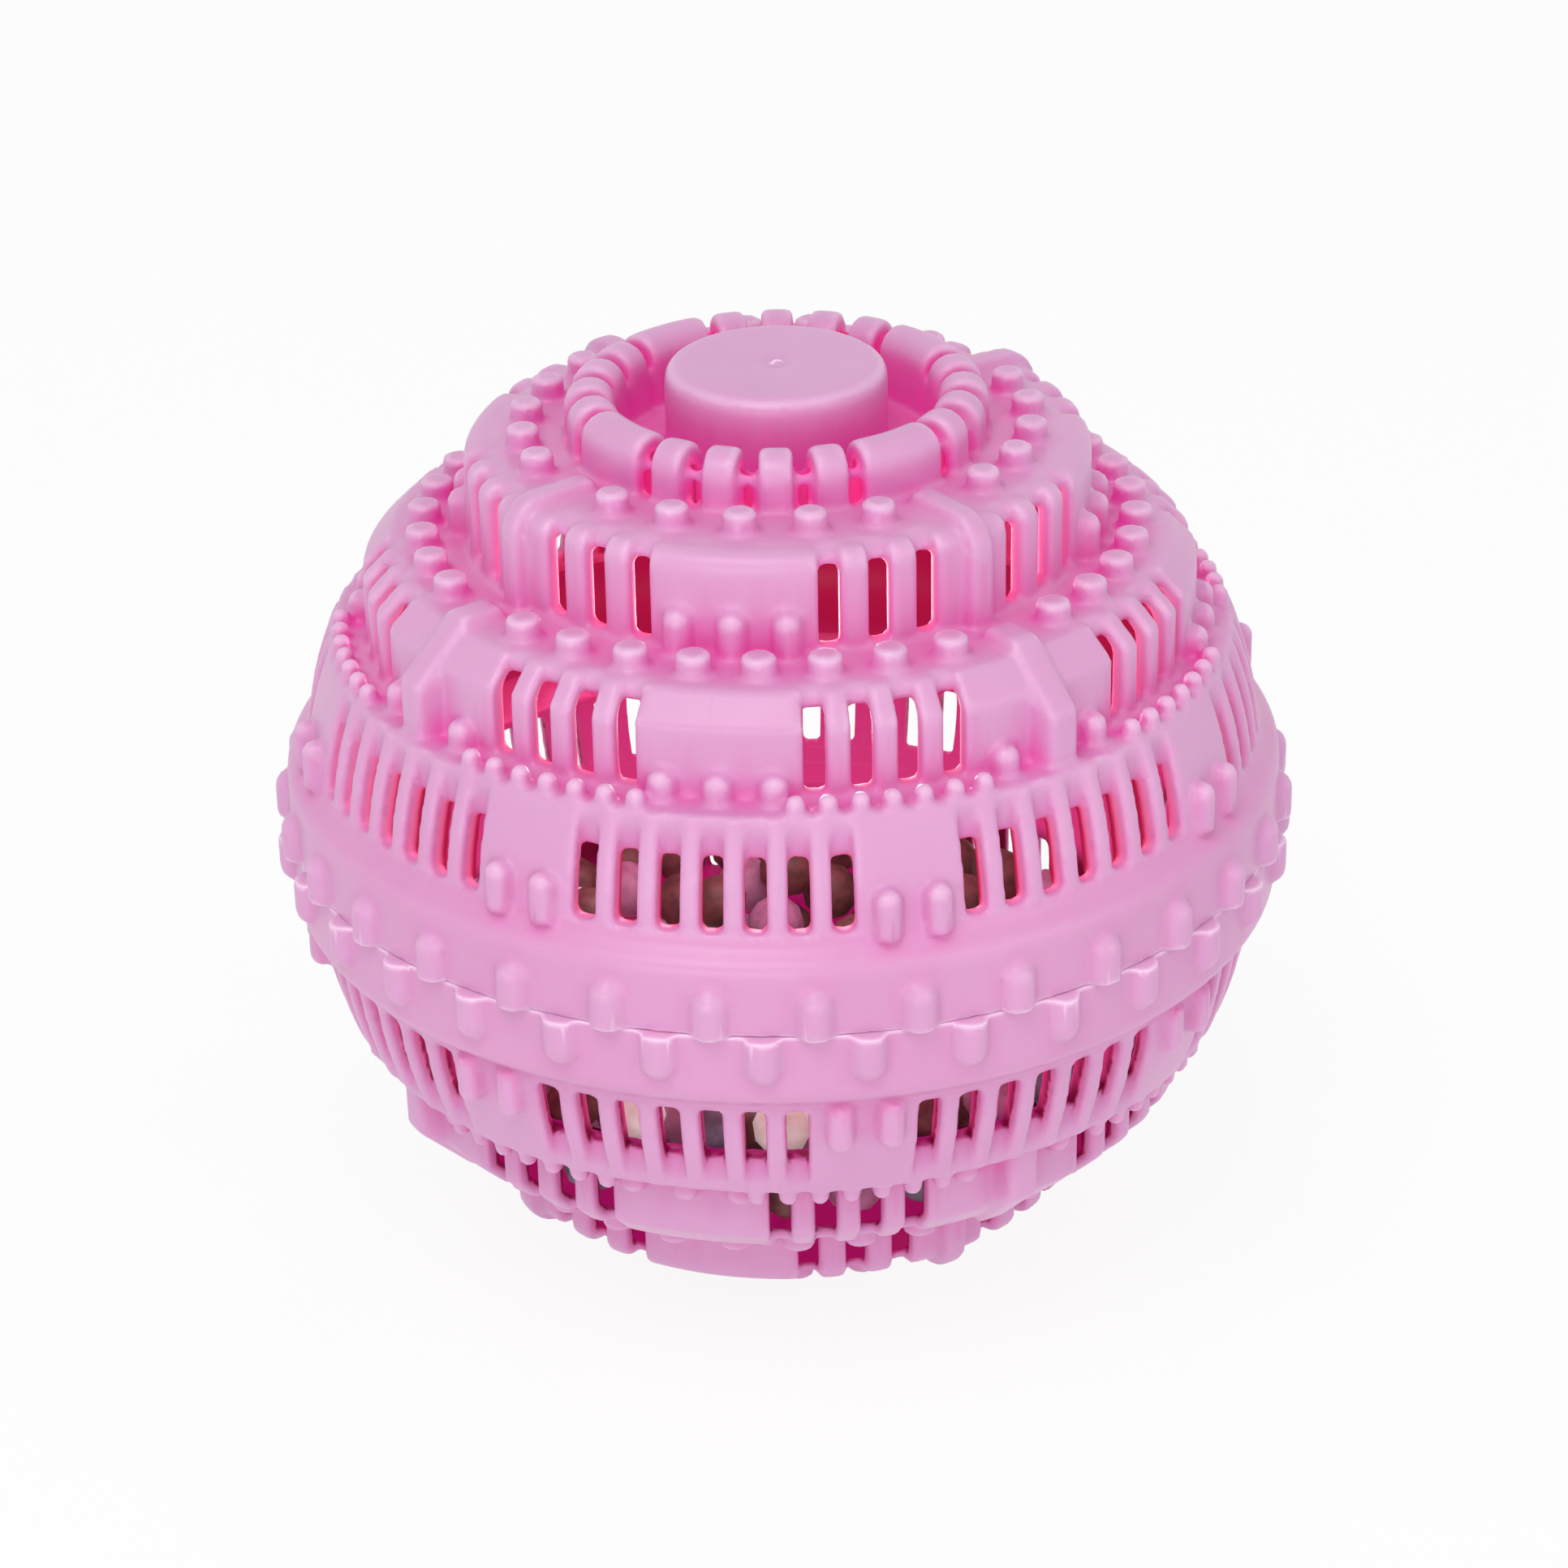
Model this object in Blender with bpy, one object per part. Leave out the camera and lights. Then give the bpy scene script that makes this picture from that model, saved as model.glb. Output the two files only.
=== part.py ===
"""Pet hair laundry ball.

Two half shells of pink plastic meet at the equator. Each has an equator band with a row of bumps,
three slotted tiers, ledges with pegs, a crown of arches and a round button at the pole. The lower
half is the same moulding turned over and set half a bump further round. The upper half also has a
spigot lip that fits inside the lower band. A magnet and a cap sit in each button, and a charge of
loose ceramic beads lies in the lower half.

Every shell form is drawn in the frame of one half: the seam is at height 0, the pole is up, and
the pattern is centred on +X. Outlines are lists of (radius, height). Angles are in degrees.
"""

import math
import random

import bmesh
import bpy
import numpy as np
from mathutils import Matrix

MM = 0.001

# Fits
FIT = 0.3 * MM                     # gap between pieces that touch or slide
STEPS = 24                         # flats round each turned form
SIDES = 6                          # flats round each peg and bump
CROWN_FACETS = 3                   # flats over the top of the crown
FLAT = math.cos(math.pi / STEPS)   # how far out the middle of a flat lies, of its corner's radius
CREASE = 35.0                      # angle over which an edge stays sharp
MERGE = 0.001 * MM                 # points closer than this are one

# Widths, added up from the pole outwards
BUTTON_RADIUS = 10.6 * MM
GROOVE_WIDTH = 4.6 * MM
CROWN_WIDTH = 5.0 * MM
LEDGE_1_WIDTH = 9.7 * MM
LEDGE_2_WIDTH = 10.2 * MM
LEDGE_3_WIDTH = 3.7 * MM
TIER_3_LEAN = 2.7 * MM
BAND_STEP = 2.1 * MM

# Heights, added up from the seam to the pole
BAND_HEIGHT = 6.9 * MM
SHOULDER_HEIGHT = 1.7 * MM
TIER_3_HEIGHT = 10.9 * MM
TIER_2_HEIGHT = 9.5 * MM
TIER_1_HEIGHT = 9.6 * MM
CROWN_RISE = 5.4 * MM
BUTTON_RISE = 7.2 * MM
GROOVE_DROP = 1.6 * MM

# Walls and edges
WALL = 1.8 * MM
LEDGE_WALL = 1.6 * MM
BUTTON_WALL = 2.0 * MM
CROWN_WALL = 1.4 * MM
CURTAIN_DROP = 2.3 * MM            # ledge 3 has a rim behind the bars that hangs this far down
TIER_2_CHAMFER = 2.6 * MM
TIER_1_CORNER = 1.7 * MM
BUTTON_EDGE = 1.4 * MM
SHOULDER_EDGE = 0.9 * MM

# Spigot lip of the upper half
SPIGOT_LENGTH = 3.5 * MM
SPIGOT_WALL = 1.5 * MM

# Slots, cut square through the wall, at angles from the centre of the pattern
PATTERNS = 4
SILL = 0.5 * MM                    # wall left under each slot
LINTEL = 0.9 * MM                  # ledge left over each slot
TIER_1_SLOT = 1.95 * MM
TIER_1_SLOTS = (17.0, 26.1, 35.2)
TIER_2_SLOT = 2.0 * MM
TIER_2_SLOTS = (12.4, 18.65, 24.9, 31.15)
TIER_3_SLOT = 2.05 * MM
TIER_3_SLOTS = (0.0, 4.95, 9.9, 14.85)
CROWN_SILL = 1.2 * MM
CROWN_GAP = 1.8 * MM
CROWN_GAPS = (0.0, 15.1)
CROWN_END_GAP = 1.6 * MM
CROWN_END_ANGLE = 28.9

# Pegs, ribs and bumps
ROOT = 0.8 * MM                    # depth that each detail reaches into its wall
PEG_RADIUS = 1.35 * MM
PEG_HEIGHT = 2.0 * MM
PEG_TAPER = 0.9
LEDGE_1_PEGS = (0.0, 15.2, 30.4)
LEDGE_2_PEGS = (5.0, 14.95, 24.9, 34.85)
PEG_CLEARANCE = 1.2 * MM           # ledge 2 pegs keep this clear of the tier 1 wall
BUMPS = 32
BUMP_WIDTH = 3.5 * MM
BUMP_HEIGHT = 4.8 * MM
BUMP_PROUD = 1.4 * MM
BUMP_TAPER = 0.7
RIB_1_WIDTH = 3.3 * MM
RIB_2_WIDTH = 4.0 * MM
RIB_1_PROUD = 1.3 * MM             # out from the tier's wall
RIB_2_PROUD = 2.6 * MM
RIB_1_CHAMFER = 3.0 * MM
RIB_2_CHAMFER = 5.6 * MM
RIB_RISE = 1.2 * MM                # above the ledge
RIB_START = 1.5 * MM               # clear of what stands on the same ledge

# Magnets and caps
MAGNET_THICKNESS = 4.0 * MM
CAP_THICKNESS = 1.5 * MM
CAP_BOSS_RADIUS = 3.0 * MM

# Beads
BEAD_RADIUS = 3.15 * MM
BEAD_COUNT = 50
BEAD_MIX = ("mauve", "cream", "mauve", "grey", "mauve", "brown", "mauve", "cream", "mauve",
            "grey", "brown", "cream")
BEAD_SEED = 7
POINTS_PER_WALL = 24               # how finely the floor is measured for a bead that comes down
WAYS_TO_ROLL = 16
LAST_STRIDE = 0.01 * MM

# How the halves face: the pattern's centre is a little left of the front, which is -Y
PATTERN_FRONT = -98.4
HALF_BUMP = 180.0 / BUMPS

# Radii and heights that follow
GROOVE_RADIUS = BUTTON_RADIUS + GROOVE_WIDTH
CROWN_RADIUS = GROOVE_RADIUS + CROWN_WIDTH
TIER_1_RADIUS = CROWN_RADIUS + LEDGE_1_WIDTH
TIER_2_RADIUS = TIER_1_RADIUS + LEDGE_2_WIDTH
TIER_3_RADIUS = TIER_2_RADIUS + LEDGE_3_WIDTH
TIER_3_FOOT_RADIUS = TIER_3_RADIUS + TIER_3_LEAN
BAND_RADIUS = TIER_3_FOOT_RADIUS + BAND_STEP
TIER_3_FOOT = BAND_HEIGHT + SHOULDER_HEIGHT
LEDGE_3 = TIER_3_FOOT + TIER_3_HEIGHT
LEDGE_2 = LEDGE_3 + TIER_2_HEIGHT
LEDGE_1 = LEDGE_2 + TIER_1_HEIGHT
CROWN_TOP = LEDGE_1 + CROWN_RISE
GROOVE_FLOOR = LEDGE_1 - GROOVE_DROP
POLE = LEDGE_1 + BUTTON_RISE
SEAM_FACE = FIT / 2
CURTAIN_FOOT = LEDGE_3 - LEDGE_WALL - CURTAIN_DROP
HOLLOW_RADIUS = BUTTON_RADIUS - BUTTON_WALL
HOLLOW_TOP = POLE - BUTTON_WALL
HOLLOW_FOOT = GROOVE_FLOOR - LEDGE_WALL
INSERT_RADIUS = HOLLOW_RADIUS - FIT
BAND_BORE = BAND_RADIUS - WALL
SPIGOT_RADIUS = BAND_BORE * FLAT - FIT

# Colours
PINK = (0.79, 0.39, 0.66, 1.0)
STEEL = (0.55, 0.55, 0.57, 1.0)
BEAD_COLOURS = {
    "mauve": (0.46, 0.13, 0.23, 1.0),
    "cream": (0.77, 0.66, 0.60, 1.0),
    "grey": (0.21, 0.21, 0.25, 1.0),
    "brown": (0.15, 0.06, 0.05, 1.0),
}


def finish(name, colour, roughness, metallic=0.0):
    """Plain material of one colour."""
    made = bpy.data.materials.new(name)
    made.use_nodes = True
    made.diffuse_color = colour
    shader = made.node_tree.nodes["Principled BSDF"]
    shader.inputs["Base Color"].default_value = colour
    shader.inputs["Roughness"].default_value = roughness
    shader.inputs["Metallic"].default_value = metallic
    return made


def mesh_from(bm, name, material=None, crease=CREASE):
    """Smooth mesh with its faces pointing out, from a bmesh that is then freed."""
    bmesh.ops.recalc_face_normals(bm, faces=bm.faces)
    mesh = bpy.data.meshes.new(name)
    bm.to_mesh(mesh)
    bm.free()
    mesh.shade_smooth()
    mesh.set_sharp_from_angle(angle=math.radians(crease))
    if material:
        mesh.materials.append(material)
    return mesh


def add_object(name, mesh, parent, location=(0, 0, 0)):
    """Object in the scene, placed in its parent's frame."""
    made = bpy.data.objects.new(name, mesh)
    bpy.context.scene.collection.objects.link(made)
    made.parent = parent
    made.location = location
    return made


def turned(name, outline, material):
    """Turned solid. Its outline starts and ends on the axis."""
    bm = bmesh.new()
    points = [bm.verts.new((radius, 0, height)) for radius, height in outline]
    edges = [bm.edges.new(pair) for pair in zip(points, points[1:])]
    bmesh.ops.spin(bm, geom=points + edges, cent=(0, 0, 0), axis=(0, 0, 1),
                   angle=math.tau, steps=STEPS, use_duplicate=False)
    bmesh.ops.remove_doubles(bm, verts=bm.verts, dist=MERGE)
    return mesh_from(bm, name, material)


def turn(bm, points, angle):
    """Turn points about the axis."""
    bmesh.ops.rotate(bm, verts=points, matrix=Matrix.Rotation(math.radians(angle), 3, "Z"))


def slab(bm, outline, width, angle):
    """Flat-sided slab that stands along a radius, as wide as given."""
    near = [bm.verts.new((radius, -width / 2, height)) for radius, height in outline]
    far = [bm.verts.new((radius, width / 2, height)) for radius, height in outline]
    bm.faces.new(near)
    bm.faces.new(far)
    for i, j in zip(range(len(outline)), [*range(1, len(outline)), 0]):
        bm.faces.new((near[i], near[j], far[j], far[i]))
    turn(bm, near + far, angle)


def peg(bm, radius_at, angle, low, high):
    """Peg that stands on a ledge."""
    points = bmesh.ops.create_cone(bm, cap_ends=True, segments=SIDES, radius1=PEG_RADIUS,
                                   radius2=PEG_TAPER * PEG_RADIUS, depth=high - low)["verts"]
    bmesh.ops.translate(bm, verts=points, vec=(radius_at, 0, (low + high) / 2))
    turn(bm, points, angle)


def bump(bm, angle):
    """Bump half sunk in the band, with one flat facing out and its foot at the seam."""
    height = BUMP_HEIGHT - SEAM_FACE
    corner = BUMP_PROUD / math.cos(math.pi / SIDES)
    points = bmesh.ops.create_cone(bm, cap_ends=True, segments=SIDES, radius1=1, radius2=BUMP_TAPER,
                                   depth=height)["verts"]
    bmesh.ops.scale(bm, verts=points, vec=(corner, BUMP_WIDTH / 2, 1))
    bmesh.ops.translate(bm, verts=points, vec=(BAND_RADIUS, 0, SEAM_FACE + height / 2))
    turn(bm, points, angle)


def mirrored(angles):
    """Each angle and its mirror image."""
    return sorted({side * angle for angle in angles for side in (-1, 1)})


def repeated(angles, times=PATTERNS):
    """The same angles in each of several equal parts of a turn."""
    return [angle + 360.0 * k / times for k in range(times) for angle in angles]


def crown_outline(inset, outer_foot, inner_foot):
    """Points over the crown, from its inner foot to its outer foot."""
    middle = (CROWN_RADIUS + GROOVE_RADIUS) / 2
    half = CROWN_WIDTH / 2 - inset
    spring = CROWN_TOP - CROWN_WIDTH / 2
    outline = [(middle - half, inner_foot)]
    for i in range(CROWN_FACETS + 1):
        angle = math.pi * (1 - i / CROWN_FACETS)
        outline.append((middle + half * math.cos(angle), spring + half * math.sin(angle)))
    outline.append((middle + half, outer_foot))
    return outline


def outside():
    """Outer outline of one half, from the pole to the seam."""
    return [
        (0, POLE),
        (BUTTON_RADIUS - BUTTON_EDGE, POLE),
        (BUTTON_RADIUS, POLE - BUTTON_EDGE),
        (BUTTON_RADIUS, GROOVE_FLOOR),
        *crown_outline(0.0, LEDGE_1, GROOVE_FLOOR),
        (TIER_1_RADIUS - TIER_1_CORNER, LEDGE_1),
        (TIER_1_RADIUS, LEDGE_1 - TIER_1_CORNER),
        (TIER_1_RADIUS, LEDGE_2),
        (TIER_2_RADIUS - TIER_2_CHAMFER, LEDGE_2),
        (TIER_2_RADIUS, LEDGE_2 - TIER_2_CHAMFER),
        (TIER_2_RADIUS, LEDGE_3),
        (TIER_3_RADIUS, LEDGE_3),
        (TIER_3_FOOT_RADIUS, TIER_3_FOOT),
        (BAND_RADIUS - SHOULDER_EDGE, BAND_HEIGHT),
        (BAND_RADIUS, BAND_HEIGHT - SHOULDER_EDGE),
        (BAND_RADIUS, SEAM_FACE),
    ]


def inside():
    """Inner outline of one half, from the tier 3 foot to the button's hollow."""
    curtain_radius = TIER_3_RADIUS - WALL
    return [
        (TIER_3_FOOT_RADIUS - WALL, TIER_3_FOOT),
        (curtain_radius + WALL / 2, CURTAIN_FOOT),
        (curtain_radius, CURTAIN_FOOT),
        (curtain_radius, LEDGE_3 - LEDGE_WALL),
        (TIER_2_RADIUS - WALL, LEDGE_3 - LEDGE_WALL),
        (TIER_2_RADIUS - WALL, LEDGE_2 - TIER_2_CHAMFER - WALL / 2),
        (TIER_2_RADIUS - TIER_2_CHAMFER - WALL / 2, LEDGE_2 - LEDGE_WALL),
        (TIER_1_RADIUS - WALL, LEDGE_2 - LEDGE_WALL),
        (TIER_1_RADIUS - WALL, LEDGE_1 - LEDGE_WALL),
        (CROWN_RADIUS - CROWN_WALL, LEDGE_1 - LEDGE_WALL),
        (CROWN_RADIUS - CROWN_WALL, CROWN_TOP - CROWN_WIDTH / 2),
        (GROOVE_RADIUS + CROWN_WALL, CROWN_TOP - CROWN_WIDTH / 2),
        (GROOVE_RADIUS + CROWN_WALL, HOLLOW_FOOT),
        (HOLLOW_RADIUS, HOLLOW_FOOT),
    ]


def shell_mesh(name, material, seam):
    """Uncut half shell. The seam outline joins its outer wall to its inner wall."""
    hollow = [(HOLLOW_RADIUS, HOLLOW_TOP), (0, HOLLOW_TOP)]
    return turned(name, outside() + seam + inside() + hollow, material)


def spigot_seam():
    """Seam of the upper half, with the lip that fits in the lower band."""
    return [
        (SPIGOT_RADIUS, SEAM_FACE),
        (SPIGOT_RADIUS, -SPIGOT_LENGTH),
        (SPIGOT_RADIUS - SPIGOT_WALL, -SPIGOT_LENGTH),
        (SPIGOT_RADIUS - SPIGOT_WALL, BAND_HEIGHT),
    ]


def socket_seam():
    """Seam of the lower half, bored for the lip."""
    return [(BAND_BORE, SEAM_FACE), (BAND_BORE, SPIGOT_LENGTH + 2 * FIT)]


def slot_outline(radius, foot, ledge, corner):
    """Slot through a wall and into the corner above it."""
    inner = radius - corner - 2 * ROOT
    clear = radius + ROOT
    return [
        (inner, foot + SILL),
        (clear, foot + SILL),
        (clear, ledge - LINTEL),
        (inner, ledge - LINTEL),
    ]


def tier_3_slot_outline():
    """Slot through the leaning wall, shallow where the rim of ledge 3 backs it."""
    inner = TIER_3_RADIUS - WALL - ROOT
    return [
        (inner, TIER_3_FOOT + SILL),
        (BAND_RADIUS, TIER_3_FOOT + SILL),
        (BAND_RADIUS, LEDGE_3 - SILL),
        (TIER_3_RADIUS, LEDGE_3 - SILL),
        (TIER_3_RADIUS, CURTAIN_FOOT - SILL),
        (inner, CURTAIN_FOOT - SILL),
    ]


def crown_gap_outline():
    """Gap through the crown between two arches."""
    return [
        (GROOVE_RADIUS - ROOT, LEDGE_1 + CROWN_SILL),
        (CROWN_RADIUS + ROOT, LEDGE_1 + CROWN_SILL),
        (CROWN_RADIUS + ROOT, CROWN_TOP + ROOT),
        (GROOVE_RADIUS - ROOT, CROWN_TOP + ROOT),
    ]


def cuts_mesh():
    """All slots and gaps of one half."""
    bm = bmesh.new()
    rows = (
        (slot_outline(TIER_1_RADIUS, LEDGE_2, LEDGE_1, TIER_1_CORNER), TIER_1_SLOT,
         repeated(mirrored(TIER_1_SLOTS))),
        (slot_outline(TIER_2_RADIUS, LEDGE_3, LEDGE_2, TIER_2_CHAMFER), TIER_2_SLOT,
         repeated(mirrored(TIER_2_SLOTS))),
        (tier_3_slot_outline(), TIER_3_SLOT, repeated(mirrored(TIER_3_SLOTS), 2 * PATTERNS)),
        (crown_gap_outline(), CROWN_GAP, repeated(mirrored(CROWN_GAPS))),
        (crown_gap_outline(), CROWN_END_GAP, repeated(mirrored([CROWN_END_ANGLE]))),
    )
    for outline, width, angles in rows:
        for angle in angles:
            slab(bm, outline, width, angle)
    return mesh_from(bm, "cuts")


def rib_outline(start, radius, proud, chamfer, foot, ledge, corner):
    """Rib that runs out over a ledge, over the corner and down the wall."""
    return [
        (start, ledge - ROOT),
        (start, ledge + RIB_RISE),
        (radius + proud - chamfer, ledge + RIB_RISE),
        (radius + proud, ledge + RIB_RISE - chamfer),
        (radius + proud, foot - ROOT),
        (radius - ROOT, foot - ROOT),
        (radius - ROOT, ledge - corner),
        (radius - corner, ledge - ROOT),
    ]


def details_mesh():
    """All ribs, pegs and bumps of one half."""
    bm = bmesh.new()
    rib_1 = rib_outline(CROWN_RADIUS + RIB_START, TIER_1_RADIUS, RIB_1_PROUD, RIB_1_CHAMFER,
                        LEDGE_2, LEDGE_1, TIER_1_CORNER)
    rib_2 = rib_outline(TIER_1_RADIUS + RIB_1_PROUD + RIB_START, TIER_2_RADIUS, RIB_2_PROUD,
                        RIB_2_CHAMFER, LEDGE_3, LEDGE_2, TIER_2_CHAMFER)
    for angle in repeated([45.0]):
        slab(bm, rib_1, RIB_1_WIDTH, angle)
        slab(bm, rib_2, RIB_2_WIDTH, angle)
    ledge_1_middle = (CROWN_RADIUS + TIER_1_RADIUS - TIER_1_CORNER) / 2
    for angle in repeated(mirrored(LEDGE_1_PEGS)):
        peg(bm, ledge_1_middle, angle, LEDGE_1 - ROOT, LEDGE_1 + PEG_HEIGHT)
    ledge_2_middle = (TIER_1_RADIUS + PEG_CLEARANCE + TIER_2_RADIUS - TIER_2_CHAMFER) / 2
    for angle in repeated(mirrored(LEDGE_2_PEGS)):
        peg(bm, ledge_2_middle, angle, LEDGE_2 - ROOT, LEDGE_2 + PEG_HEIGHT)
    for angle in repeated([0.0], BUMPS):
        bump(bm, angle)
    return mesh_from(bm, "details")


def guide(name, mesh, shell):
    """Object that only shapes a shell, at the shell's own place."""
    made = add_object(name, mesh, shell)
    made.display_type = "WIRE"
    made.hide_render = True
    return made


def combine(shell, operation, tool):
    """Cut or join a guide into a shell."""
    step = shell.modifiers.new(operation.title(), "BOOLEAN")
    step.solver = "EXACT"
    step.operation = operation
    step.object = tool


def shell(name, mesh, cuts, details, parent):
    """One half shell with its cuts and details."""
    made = add_object(name, mesh, parent)
    combine(made, "DIFFERENCE", guide(name + "_cuts", cuts, made))
    combine(made, "UNION", guide(name + "_details", details, made))
    return made


def magnet_mesh(material):
    """Disc magnet in the button's hollow."""
    top = HOLLOW_TOP - FIT
    foot = top - MAGNET_THICKNESS
    return turned("magnet", [(0, top), (INSERT_RADIUS, top), (INSERT_RADIUS, foot), (0, foot)],
                  material)


def cap_mesh(material):
    """Cap flush with the floor under the button, with a boss that holds the magnet up."""
    top = HOLLOW_TOP - FIT - MAGNET_THICKNESS - FIT
    plate = HOLLOW_FOOT + CAP_THICKNESS
    outline = [(0, top), (CAP_BOSS_RADIUS, top), (CAP_BOSS_RADIUS, plate), (INSERT_RADIUS, plate),
               (INSERT_RADIUS, HOLLOW_FOOT), (0, HOLLOW_FOOT)]
    return turned("cap", outline, material)


def floor_points():
    """Points along the inner outline of the lower half and its cap, as seen from inside."""
    corners = [(0, HOLLOW_FOOT), *reversed(inside()), (BAND_BORE, SEAM_FACE)]
    points = []
    for (r0, h0), (r1, h1) in zip(corners, corners[1:]):
        for t in np.linspace(0, 1, POINTS_PER_WALL):
            points.append((FLAT * (r0 + (r1 - r0) * t), -(h0 + (h1 - h0) * t)))
    return np.array(points)


def rest_heights(places, floor, beads):
    """Height at which a bead's centre comes to rest over each of several places."""
    reach = BEAD_RADIUS + FIT
    radii = np.hypot(places[:, 0], places[:, 1])
    aside = radii[:, None] - floor[None, :, 0]
    over_floor = floor[:, 1] + np.sqrt(np.maximum(reach ** 2 - aside ** 2, 0))
    heights = np.where(np.abs(aside) < reach, over_floor, -1).max(axis=1)
    if len(beads):
        pair = 2 * BEAD_RADIUS + FIT
        apart = np.hypot(places[:, 0, None] - beads[:, 0], places[:, 1, None] - beads[:, 1])
        over_bead = beads[:, 2] + np.sqrt(np.maximum(pair ** 2 - apart ** 2, 0))
        heights = np.maximum(heights, np.where(apart < pair, over_bead, -1).max(axis=1))
    return heights


def dropped_beads():
    """Centres of the beads, each let down at a chance place and rolled to the nearest hollow."""
    chance = random.Random(BEAD_SEED)
    floor = floor_points()
    beads = np.empty((0, 3))
    compass = np.linspace(0, math.tau, WAYS_TO_ROLL, endpoint=False)
    around = np.stack([np.cos(compass), np.sin(compass)], axis=1)
    for _ in range(BEAD_COUNT):
        angle = chance.uniform(0, math.tau)
        spot = TIER_1_RADIUS * math.sqrt(chance.random()) * np.array([math.cos(angle), math.sin(angle)])
        height = rest_heights(spot[None], floor, beads)[0]
        stride = BEAD_RADIUS / 2
        while stride > LAST_STRIDE:
            tries = spot + stride * around
            heights = rest_heights(tries, floor, beads)
            lowest = heights.argmin()
            if heights[lowest] < height:
                spot = tries[lowest]
                height = heights[lowest]
            else:
                stride /= 2
        beads = np.vstack([beads, [spot[0], spot[1], height]])
    return beads


def bead_mesh(kind):
    """Round ceramic bead."""
    bm = bmesh.new()
    bmesh.ops.create_uvsphere(bm, u_segments=8, v_segments=4, radius=BEAD_RADIUS)
    material = finish("ceramic_" + kind, BEAD_COLOURS[kind], 0.55)
    return mesh_from(bm, "bead_" + kind, material, crease=180.0)


def add_beads(parent):
    """The charge of beads, named by kind."""
    meshes = {kind: bead_mesh(kind) for kind in BEAD_COLOURS}
    made = dict.fromkeys(BEAD_COLOURS, 0)
    for i, centre in enumerate(dropped_beads()):
        kind = BEAD_MIX[i % len(BEAD_MIX)]
        made[kind] += 1
        add_object(f"bead_{kind}_{made[kind]:02d}", meshes[kind], parent, centre)


def body(name):
    """Empty on the axis at the seam, which carries the pieces that move together."""
    made = add_object(name, None, None, (0, 0, POLE))
    made.empty_display_size = BAND_RADIUS
    return made


def main():
    for old in list(bpy.data.objects):
        bpy.data.objects.remove(old)
    pink = finish("pink_plastic", PINK, 0.38)
    steel = finish("magnet_steel", STEEL, 0.35, 1.0)
    cuts = cuts_mesh()
    details = details_mesh()

    upper_half = body("upper_half")
    lower_half = body("lower_half")
    upper_half.rotation_euler = (0, 0, math.radians(PATTERN_FRONT))
    lower_half.rotation_euler = (math.pi, 0, math.radians(PATTERN_FRONT - HALF_BUMP))

    shell("upper_shell", shell_mesh("upper_shell", pink, spigot_seam()), cuts, details, upper_half)
    shell("lower_shell", shell_mesh("lower_shell", pink, socket_seam()), cuts, details, lower_half)
    magnet = magnet_mesh(steel)
    cap = cap_mesh(pink)
    for side, parent in (("upper", upper_half), ("lower", lower_half)):
        add_object(side + "_magnet", magnet, parent)
        add_object(side + "_magnet_cap", cap, parent)
    add_beads(body("bead_charge"))


main()
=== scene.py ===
import math
import random

import bpy
import numpy as np
from mathutils import Matrix, Vector
from mathutils.bvhtree import BVHTree


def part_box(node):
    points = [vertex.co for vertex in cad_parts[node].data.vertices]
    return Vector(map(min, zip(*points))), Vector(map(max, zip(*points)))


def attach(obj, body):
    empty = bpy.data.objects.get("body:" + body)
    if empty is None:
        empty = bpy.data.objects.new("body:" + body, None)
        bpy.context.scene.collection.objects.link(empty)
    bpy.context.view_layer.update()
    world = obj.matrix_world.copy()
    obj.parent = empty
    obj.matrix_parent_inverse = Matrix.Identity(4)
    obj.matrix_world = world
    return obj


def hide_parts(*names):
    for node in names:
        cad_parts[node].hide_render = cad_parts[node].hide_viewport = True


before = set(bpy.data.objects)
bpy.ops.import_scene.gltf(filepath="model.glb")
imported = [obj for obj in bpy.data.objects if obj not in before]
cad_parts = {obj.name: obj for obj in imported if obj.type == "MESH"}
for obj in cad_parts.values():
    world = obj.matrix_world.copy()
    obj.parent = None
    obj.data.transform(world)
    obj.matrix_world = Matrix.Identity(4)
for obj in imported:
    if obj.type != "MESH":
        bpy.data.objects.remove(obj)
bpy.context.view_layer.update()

# Camera.
# The photographed ball is seen from in front and above, with a long lens, and leans a touch to the left.
# Sizes here and below are in millimetres, and angles in degrees, unless a comment says otherwise.
MM = 0.001
SEAM_HEIGHT = 45.8
CAMERA_BACK = 396.2
CAMERA_OVER_SEAM = 201.2
VIEW_DOWN = 26.92
LEAN = 1.1
camera_data = bpy.data.cameras.new("photo_camera")
camera_data.sensor_width = 36
camera_data.lens = 103.0
camera_data.shift_y = 0.0049
camera = bpy.data.objects.new("photo_camera", camera_data)
camera.matrix_world = (Matrix.Translation((0, -CAMERA_BACK * MM, (SEAM_HEIGHT + CAMERA_OVER_SEAM) * MM))
                       @ Matrix.Rotation(math.radians(90 - VIEW_DOWN), 4, "X")
                       @ Matrix.Rotation(math.radians(-LEAN), 4, "Z"))
bpy.context.collection.objects.link(camera)
bpy.context.scene.camera = camera

# Half shells.
# Each half is one injection moulding of soft pink plastic: an equator band, three stepped tiers with slots
# between upright bars, ledges, a crown of small arches and a button at the pole. The forms of the moulding
# are drawn one by one, fused, and softened as moulded edges are. The lower half is the same moulding.
WALL = 1.8
# Outer radii of the tiers and the band, and heights over the seam
TIER_1 = 29.9
TIER_2 = 40.1
TIER_3 = 46.5
BAND_RADIUS = 48.6
TIER_3_FOOT = 8.4
LEDGE_3 = 19.5
LEDGE_2 = 29.0
LEDGE_1 = 38.6
GROOVE_FLOOR = 37.0
BUMP_PITCH = 11.25
QUARTERS = (0, 90, 180, 270)


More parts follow.
